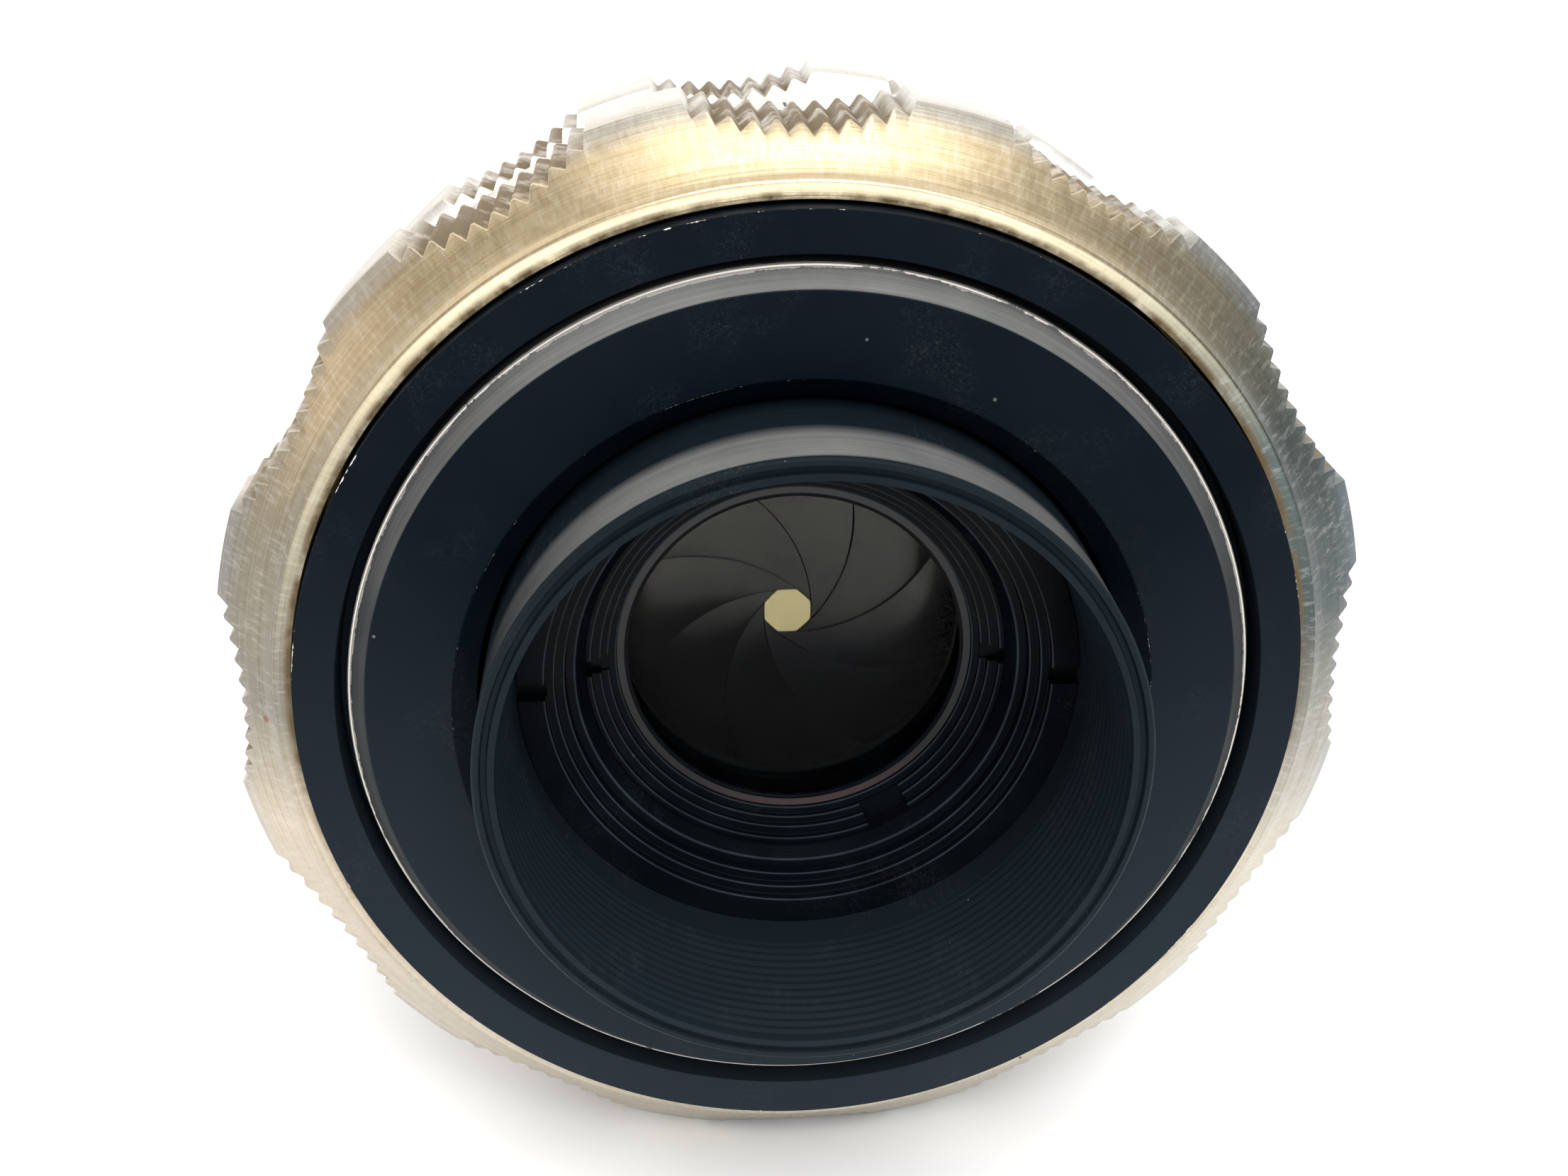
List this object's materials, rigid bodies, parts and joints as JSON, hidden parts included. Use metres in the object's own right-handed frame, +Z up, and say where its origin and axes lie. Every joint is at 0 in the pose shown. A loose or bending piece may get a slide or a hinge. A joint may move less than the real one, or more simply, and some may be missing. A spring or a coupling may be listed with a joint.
{
  "type": "manual portrait lens",
  "caption": "Small manual portrait lens lying on its grip rings, with a scalloped focus ring, a knurled aperture ring and a working iris.",
  "frame": {"origin": "on the floor, under the middle of the lens (half way between its rear rim and its front rim), where it lies on two pads of the focus ring", "axes": "+Y runs along the lens axis towards the front (subject) end, +Z is up, +X is to the right seen from the rear"},
  "size_m": [0.0578, 0.045, 0.0578],
  "materials": {
    "plated_brass": "worn satin nickel plating over brass, brushed round",
    "bare_brass": "machined",
    "steel": "machined",
    "blade_steel": "blackened satin",
    "black_anodised": "satin black anodising, rubbed at the edges",
    "optical_glass": "polished"
  },
  "bodies": {
    "mount": {"mount_boss": "black_anodised", "rear_flange_ring": "black_anodised", "mount_barrel": "black_anodised", "mount_screws": "steel", "flange_screws": "steel", "guide_keys": "bare_brass", "focus_retaining_ring": "bare_brass", "focus_stop_pin": "steel"},
    "focus_ring": {"focus_grip_ring": "plated_brass", "focus_helicoid": "bare_brass", "helicoid_screws": "steel"},
    "head": {"rear_tube": "black_anodised", "outer_lock_ring": "black_anodised", "stepped_baffle": "black_anodised", "rear_lock_ring": "black_anodised", "rear_cell": "black_anodised", "rear_element": "optical_glass", "rear_cemented_element": "optical_glass", "iris_seat_ring": "black_anodised", "head_barrel": "black_anodised", "index_ring": "plated_brass", "index_screws": "steel", "inner_sleeve": "plated_brass", "front_cell": "black_anodised", "second_element": "optical_glass", "element_spacer": "black_anodised", "front_element": "optical_glass", "front_lock_ring": "black_anodised", "name_ring": "black_anodised", "front_cone": "black_anodised", "front_barrel": "black_anodised", "barrel_screws": "steel"},
    "aperture_ring": {"aperture_ring": "plated_brass", "iris_cam_ring": "bare_brass", "aperture_drive_screw": "steel"},
    "blade_1": {"iris_blade_1": "blade_steel"},
    "blade_2": {"iris_blade_2": "blade_steel"},
    "blade_3": {"iris_blade_3": "blade_steel"},
    "blade_4": {"iris_blade_4": "blade_steel"},
    "blade_5": {"iris_blade_5": "blade_steel"},
    "blade_6": {"iris_blade_6": "blade_steel"},
    "blade_7": {"iris_blade_7": "blade_steel"},
    "blade_8": {"iris_blade_8": "blade_steel"}
  },
  "joints": [
    {"name": "focus_turn", "type": "hinge", "parent": "mount", "child": "focus_ring", "pos_m": [0, 0, 0.02891], "axis": [0, 1, 0], "range_deg": [0, 250]},
    {"name": "head_slide", "type": "slide", "parent": "mount", "child": "head", "axis": [0, 1, 0], "range_m": [0, 0.004]},
    {"name": "aperture_turn", "type": "hinge", "parent": "head", "child": "aperture_ring", "pos_m": [0, 0, 0.02891], "axis": [0, 1, 0], "range_deg": [0, 40]},
    {"name": "blade_1_swing", "type": "hinge", "parent": "head", "child": "blade_1", "pos_m": [-0.00386, -0.0039, 0.04402], "axis": [0, -1, 0], "range_deg": [0, 28.69]},
    {"name": "blade_2_swing", "type": "hinge", "parent": "head", "child": "blade_2", "pos_m": [-0.01342, -0.0039, 0.03686], "axis": [0, -1, 0], "range_deg": [0, 28.69]},
    {"name": "blade_3_swing", "type": "hinge", "parent": "head", "child": "blade_3", "pos_m": [-0.01511, -0.0039, 0.02505], "axis": [0, -1, 0], "range_deg": [0, 28.69]},
    {"name": "blade_4_swing", "type": "hinge", "parent": "head", "child": "blade_4", "pos_m": [-0.00795, -0.0039, 0.01549], "axis": [0, -1, 0], "range_deg": [0, 28.69]},
    {"name": "blade_5_swing", "type": "hinge", "parent": "head", "child": "blade_5", "pos_m": [0.00386, -0.0039, 0.0138], "axis": [0, -1, 0], "range_deg": [0, 28.69]},
    {"name": "blade_6_swing", "type": "hinge", "parent": "head", "child": "blade_6", "pos_m": [0.01342, -0.0039, 0.02096], "axis": [0, -1, 0], "range_deg": [0, 28.69]},
    {"name": "blade_7_swing", "type": "hinge", "parent": "head", "child": "blade_7", "pos_m": [0.01511, -0.0039, 0.03278], "axis": [0, -1, 0], "range_deg": [0, 28.69]},
    {"name": "blade_8_swing", "type": "hinge", "parent": "head", "child": "blade_8", "pos_m": [0.00795, -0.0039, 0.04233], "axis": [0, -1, 0], "range_deg": [0, 28.69]}
  ],
  "couplings": [
    {"joint": "head_slide", "follows": "focus_turn", "m_per_rad": 0.00091672},
    {"joint": "blade_1_swing", "follows": "aperture_turn", "ratio": 0.71724},
    {"joint": "blade_2_swing", "follows": "aperture_turn", "ratio": 0.71724},
    {"joint": "blade_3_swing", "follows": "aperture_turn", "ratio": 0.71724},
    {"joint": "blade_4_swing", "follows": "aperture_turn", "ratio": 0.71724},
    {"joint": "blade_5_swing", "follows": "aperture_turn", "ratio": 0.71724},
    {"joint": "blade_6_swing", "follows": "aperture_turn", "ratio": 0.71724},
    {"joint": "blade_7_swing", "follows": "aperture_turn", "ratio": 0.71724},
    {"joint": "blade_8_swing", "follows": "aperture_turn", "ratio": 0.71724}
  ]
}
